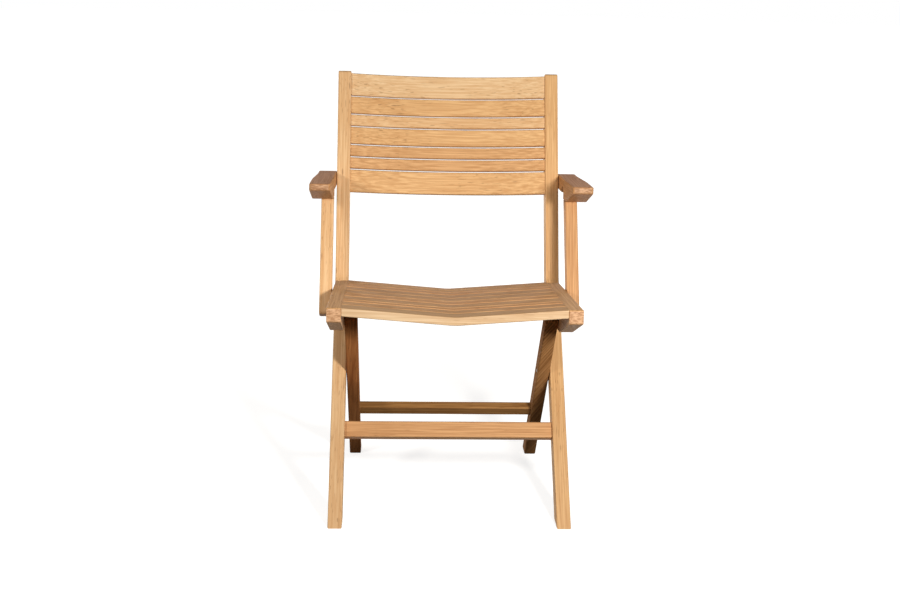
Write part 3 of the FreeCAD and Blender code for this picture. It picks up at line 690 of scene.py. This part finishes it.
@dataclass
class Armrests(Woodwork):
    """The two armrests, greyed and painted with shade on top, and the posts that carry them."""

    arm_lean: float = 92.45
    post_lean: float = 26.86
    # Grey weathering and painted shade on the armrests' tops, deeper on the right one
    grey_and_shade_veils: tuple[str, str] = ("#E4DADD", "#DAD0D4")
    post_tones: tuple[Tone, Tone] = (Tone.RUSSET, Tone.PALE)
    arm_seeds: tuple[int, int] = (61, 62)
    post_seeds: tuple[int, int] = (65, 66)

    def boards(self) -> list[Board]:
        """List the boards of the armrests."""
        found = []
        up = lean(self.arm_lean - 90.0)
        front = -lean(self.post_lean + 90.0)
        for index, side in enumerate(SIDES):
            arm = Teak(Tone.RUSSET, Cut.FLAT, grey_and_shade_veil=self.grey_and_shade_veils[index])
            post = Teak(self.post_tones[index], Cut.FLAT)
            found.append(Board(
                f"{side}_armrest", lean(self.arm_lean), up, arm, self.arm_seeds[index]))
            found.append(Board(
                f"{side}_arm_post", lean(self.post_lean), front, post, self.post_seeds[index]))
        return found


@dataclass
class Hardware:
    """Pivot bolts, their nuts and washers, the hinges and the rest rod, all of stainless steel."""

    leg_pivot: Vector = Vector((0.0, -0.01637, 0.25642))
    armrest_pivot: Vector = Vector((0.0, 0.20532, 0.62458))
    post_pivot: Vector = Vector((0.0, -0.03177, 0.39422))
    seat_hinge: Vector = Vector((0.0, 0.07977, 0.41652))
    rod_axis: Vector = Vector((0.0, -0.13400, 0.40537))
    finish: Steel = Steel()

    def dress(self) -> None:
        """Give every steel part its finish."""
        pivots = {"leg": self.leg_pivot, "armrest": self.armrest_pivot, "post": self.post_pivot}
        for kind, axis in pivots.items():
            steel = self.finish.material(f"turned_stainless_{kind}_bolts", Brush.TURNED, axis)
            for name in (f"{kind}_bolts", f"{kind}_bolt_nuts", f"{kind}_washers"):
                self.put(name, steel)
        drawn = self.finish.material("drawn_stainless_hinges", Brush.DRAWN, self.seat_hinge)
        for name in sorted(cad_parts):
            if "hinge" in name:
                self.put(name, drawn)
        rod = self.finish.material("drawn_stainless_rod", Brush.DRAWN, self.rod_axis)
        self.put("rest_rod", rod)

    def put(self, name: str, steel: bpy.types.Material) -> None:
        """Dress one steel node.

        Args:
            name: name of the node.
            steel: its material.
        """
        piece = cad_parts[name]
        cover(piece, steel)
        log.info("%s: stainless steel", name)


@dataclass
class Lamp:
    """A round softbox about two metres from the chair."""

    name: str
    place: Vector
    power: float
    size: float = 0.24

    def build(self, aim: Vector) -> None:
        """Hang the lamp.

        Args:
            aim: point that it shines at.
        """
        light = bpy.data.lights.new(self.name, "AREA")
        light.shape = "DISK"
        light.size = self.size
        light.energy = self.power
        lamp = bpy.data.objects.new(self.name, light)
        lamp.rotation_euler = (self.place - aim).to_track_quat("Z", "Y").to_euler()
        lamp.location = self.place
        lamp.visible_camera = False
        bpy.context.scene.collection.objects.link(lamp)


@dataclass
class Studio:
    """Pale floor, soft lamps, white surroundings and the camera of the photograph."""

    floor_radius: float = 30.0
    floor_colour: str = "#B4B2AE"
    floor_bounce: str = "#2C2824"
    floor_glow: float = 0.75
    glow_near: float = 0.6
    glow_far: float = 2.6
    mottle_waves: float = 9.0
    mottle_roughens: float = 0.1
    floor_roughness: float = 0.8
    ambient: float = 0.22
    lens: float = 52.0
    sensor: float = 36.0
    sight: float = 200.0
    eye: Vector = Vector((-0.112253, -2.627675, 1.071394))
    yaw: float = 0.0435
    pitch: float = 0.2487
    roll: float = -0.0207
    aim: Vector = Vector((0.0, 0.0, 0.45))
    lamps: tuple[Lamp, ...] = (
        Lamp("key_lamp", Vector((0.50, -1.46, 0.96)), 23.5),
        Lamp("fill_lamp", Vector((-1.20, -1.50, 1.18)), 13.5),
        Lamp("rear_left_lamp", Vector((1.30, 1.90, 0.62)), 19.0, 0.5),
        Lamp("rear_right_lamp", Vector((-1.30, 1.90, 0.62)), 19.0, 0.5))

    def build(self) -> None:
        """Build floor, surroundings, lamps and camera."""
        self.floor()
        self.surroundings()
        for lamp in self.lamps:
            lamp.build(self.aim)
        self.camera()
        bpy.context.scene.view_settings.view_transform = "Standard"

    def floor(self) -> None:
        """Lay a round floor whose lit parts show white and whose shadows stay."""
        mesh = bpy.data.meshes.new("studio_floor")
        shape = bmesh.new()
        bmesh.ops.create_circle(shape, cap_ends=True, segments=64, radius=self.floor_radius)
        shape.to_mesh(mesh)
        shape.free()
        ground = bpy.data.objects.new("studio_floor", mesh)
        bpy.context.scene.collection.objects.link(ground)
        made, tree = empty_material("painted_floor")
        here = add(tree, "TexCoord").outputs["Object"]
        mottle = add(tree, "TexNoise", {
            "Vector": here, "Scale": self.mottle_waves, "Detail": 3.0})
        rough = add(tree, "Math", {
            0: mottle, 1: self.mottle_roughens, 2: self.floor_roughness},
            operation="MULTIPLY_ADD")
        seen = self.seen_rays(tree)
        # Pale to look at, yet it throws little light up under the seat, as dark ground does
        colour = add(tree, "Mix", {
            0: seen, 6: linear(self.floor_bounce), 7: linear(self.floor_colour)},
            data_type="RGBA").outputs[2]
        paint = add(tree, "BsdfDiffuse", {"Color": colour, "Roughness": rough})
        # White where it is looked at, a little less so about the chair, where the shadow shows
        far = add(tree, "VectorMath", {0: here}, operation="LENGTH").outputs["Value"]
        far = add(tree, "MapRange", {
            0: far, 1: self.glow_near, 2: self.glow_far, 3: self.floor_glow, 4: 1.0})
        level = add(tree, "Math", {0: seen, 1: far}, operation="MULTIPLY")
        glow = add(tree, "Emission", {"Color": WHITE, "Strength": level})
        both = add(tree, "AddShader", {0: paint, 1: glow})
        add(tree, "OutputMaterial", {"Surface": both})
        cover(ground, made)

    @staticmethod
    def seen_rays(tree: Tree) -> Node:
        """Tell the rays that show a surface: from the camera, by reflection or through glass.

        Args:
            tree: node tree of the material or world.

        Returns:
            1 for such rays and 0 for all others.
        """
        path = add(tree, "LightPath").outputs
        seen = add(tree, "Math", {0: path["Is Camera Ray"], 1: path["Is Glossy Ray"]},
                   operation="MAXIMUM")
        return add(tree, "Math", {0: seen, 1: path["Is Transmission Ray"]}, operation="MAXIMUM")

    def surroundings(self) -> None:
        """Light the chair evenly from all round, and show white where it is looked at."""
        world = bpy.data.worlds.new("studio")
        bpy.context.scene.world = world
        world.use_nodes = True
        tree = world.node_tree
        tree.nodes.clear()
        light = add(tree, "Background", {"Color": WHITE, "Strength": self.ambient})
        white = add(tree, "Background", {"Color": WHITE, "Strength": 1.0})
        mixed = add(tree, "MixShader", {0: self.seen_rays(tree), 1: light, 2: white})
        add(tree, "OutputWorld", {"Surface": mixed})

    def camera(self) -> None:
        """Place the camera as the photograph's straight edges give it."""
        level = Vector((math.cos(self.yaw), -math.sin(self.yaw), 0.0))
        forward = Vector((
            math.sin(self.yaw) * math.cos(self.pitch),
            math.cos(self.yaw) * math.cos(self.pitch), -math.sin(self.pitch)))
        down = forward.cross(level)
        right = level * math.cos(self.roll) + down * math.sin(self.roll)
        up = level * math.sin(self.roll) - down * math.cos(self.roll)
        lens = bpy.data.cameras.new("camera")
        lens.lens = self.lens
        lens.sensor_width = self.sensor
        lens.clip_end = self.sight
        view = bpy.data.objects.new("camera", lens)
        turned = Matrix((right, up, -forward)).transposed().to_4x4()
        view.matrix_world = Matrix.Translation(self.eye) @ turned
        bpy.context.scene.collection.objects.link(view)
        bpy.context.scene.camera = view


def main() -> None:
    """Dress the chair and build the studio."""
    logging.basicConfig(level=logging.INFO, format="%(message)s")
    for part in (BackFrame(), RearFrame(), Seat(), Armrests(), Hardware()):
        part.dress()
    Studio().build()


if __name__ == "__main__":
    main()
